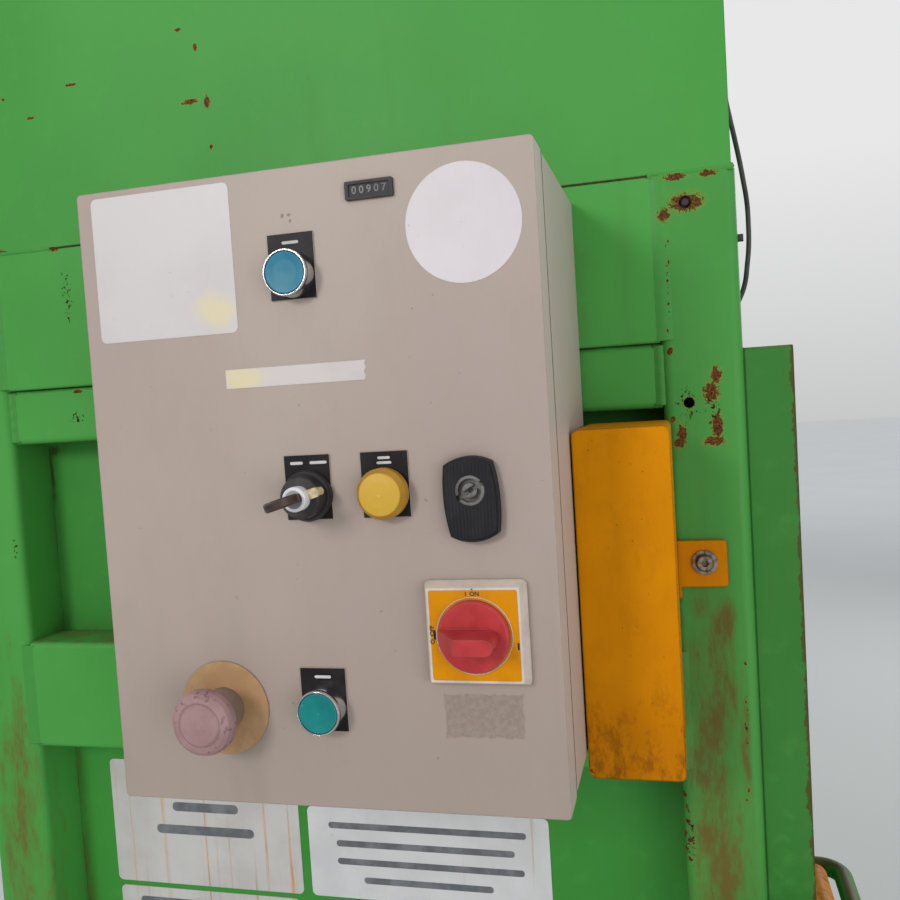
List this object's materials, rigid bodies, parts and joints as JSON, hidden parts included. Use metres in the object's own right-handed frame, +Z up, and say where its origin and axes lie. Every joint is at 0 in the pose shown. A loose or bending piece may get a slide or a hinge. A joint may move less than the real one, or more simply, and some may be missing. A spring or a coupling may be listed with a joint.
{
  "type": "vertical recycling baler",
  "caption": "Vertical recycling baler: welded ribbed frame with an upper ram housing, front doors with levers, and a side control enclosure with a cable guard.",
  "frame": {"origin": "on the floor, at the centre of the four floor anchor holes", "axes": "+Z up, -Y towards the front with the doors, -X towards the side with the controls"},
  "size_m": [1.4115, 0.845, 2.454],
  "materials": {
    "green_paint": "semi-gloss green paint with rust",
    "dark_green_paint": "worn green paint",
    "beige_paint": "fine textured powder coat",
    "amber_paint": "worn amber paint",
    "steel": "machined steel",
    "zinc": "zinc plated",
    "chrome": "hard chrome",
    "black_plastic": "moulded black plastic",
    "black_paint": "black enamel",
    "rubber": "black rubber",
    "cream_plastic": "aged cream plastic",
    "blue_plastic": "blue moulded plastic",
    "teal_plastic": "teal moulded plastic",
    "amber_lens": "amber moulded lens",
    "key_plastic": "dark brown moulded plastic",
    "orange_plastic": "sun-faded orange plastic",
    "pink_plastic": "sun-faded red plastic",
    "red_plastic": "red moulded plastic"
  },
  "bodies": {
    "machine": {"base_frame": "dark_green_paint", "front_left_post": "green_paint", "front_right_post": "green_paint", "rear_posts": "green_paint", "left_rails": "green_paint", "right_rails": "green_paint", "rear_rails": "green_paint", "top_ring": "green_paint", "side_skins": "dark_green_paint", "rear_skin": "dark_green_paint", "chamber_floor": "dark_green_paint", "casing_left": "green_paint", "casing_right": "green_paint", "casing_rear": "green_paint", "casing_front": "green_paint", "casing_top": "green_paint", "crosshead": "dark_green_paint", "cylinder_barrel": "black_paint", "oil_tank": "black_paint", "pump_motor": "steel", "valve_block": "zinc", "hydraulic_pipes": "steel", "hinge_lugs": "green_paint", "hinge_pins": "zinc", "latch_keepers": "green_paint", "enclosure_body": "beige_paint", "enclosure_hinge_pins": "zinc", "mounting_plate": "zinc", "switchgear": "black_plastic", "panel_bolts": "zinc", "cable_glands": "black_plastic", "cable_guard": "amber_paint", "sensor_cable": "rubber", "cable_fittings": "black_plastic"},
    "ram": {"platen": "dark_green_paint", "piston_rod": "chrome", "guide_rods": "chrome"},
    "upper_door": {"loading_door": "green_paint"},
    "upper_latch": {"loading_latch": "amber_paint"},
    "lower_door": {"main_door": "green_paint"},
    "lower_latch": {"main_latch": "amber_paint"},
    "control_door": {"enclosure_door": "beige_paint", "door_seal": "rubber", "legend_plates": "black_plastic", "button_bodies": "chrome", "bale_lamp": "amber_lens", "key_switch_body": "black_plastic", "estop_disc": "orange_plastic", "estop_collar": "pink_plastic", "isolator_plate": "cream_plastic", "counter": "black_plastic", "lock_cover": "black_plastic"},
    "upper_button": {"start_cap_upper": "blue_plastic"},
    "lower_button": {"start_cap_lower": "teal_plastic"},
    "key": {"key_barrel": "black_plastic", "switch_key": "key_plastic"},
    "stop_stem": {"estop_stem": "pink_plastic"},
    "stop_head": {"estop_head": "pink_plastic"},
    "isolator_handle": {"isolator_knob": "red_plastic"},
    "quarter_turn_lock": {"lock_insert": "zinc"}
  },
  "joints": [
    {"name": "ram_slide", "type": "slide", "parent": "machine", "child": "ram", "axis": [0, 0, -1], "range_m": [0, 0.63]},
    {"name": "loading_door_hinge", "type": "hinge", "parent": "machine", "child": "upper_door", "pos_m": [0.568, -0.377, 1.18], "axis": [0, 0, 1], "range_deg": [0, 110]},
    {"name": "main_door_hinge", "type": "hinge", "parent": "machine", "child": "lower_door", "pos_m": [0.568, -0.377, 0.54], "axis": [0, 0, 1], "range_deg": [0, 110]},
    {"name": "loading_latch_turn", "type": "hinge", "parent": "upper_door", "child": "upper_latch", "pos_m": [-0.515, -0.391, 0.99], "axis": [0, 1, 0], "range_deg": [0, 90]},
    {"name": "main_latch_turn", "type": "hinge", "parent": "lower_door", "child": "lower_latch", "pos_m": [-0.515, -0.391, 0.545], "axis": [0, 1, 0], "range_deg": [0, 90]},
    {"name": "enclosure_door_hinge", "type": "hinge", "parent": "machine", "child": "control_door", "pos_m": [-0.717, 0.06, 1.38], "axis": [0, 0, -1], "range_deg": [0, 105]},
    {"name": "lock_turn", "type": "hinge", "parent": "control_door", "child": "quarter_turn_lock", "pos_m": [-0.74, -0.186, 1.379], "axis": [1, 0, 0], "range_deg": [0, 90]},
    {"name": "isolator_turn", "type": "hinge", "parent": "control_door", "child": "isolator_handle", "pos_m": [-0.74, -0.184, 1.2935], "axis": [1, 0, 0], "range_deg": [0, 90]},
    {"name": "key_turn", "type": "hinge", "parent": "control_door", "child": "key", "pos_m": [-0.74, -0.082, 1.379], "axis": [-1, 0, 0], "range_deg": [0, 90]},
    {"name": "start_upper_push", "type": "slide", "parent": "control_door", "child": "upper_button", "axis": [1, 0, 0], "range_m": [0, 0.003], "stiffness_N_per_m": 900, "springref_m": -0.002},
    {"name": "start_lower_push", "type": "slide", "parent": "control_door", "child": "lower_button", "axis": [1, 0, 0], "range_m": [0, 0.003], "stiffness_N_per_m": 900, "springref_m": -0.002},
    {"name": "estop_push", "type": "slide", "parent": "control_door", "child": "stop_stem", "axis": [1, 0, 0], "range_m": [0, 0.004], "stiffness_N_per_m": 1500, "springref_m": -0.002},
    {"name": "estop_twist", "type": "hinge", "parent": "stop_stem", "child": "stop_head", "pos_m": [-0.74, -0.013, 1.243], "axis": [1, 0, 0], "range_deg": [0, 40], "stiffness_Nm_per_rad": 0.2, "springref_deg": -5.73}
  ]
}
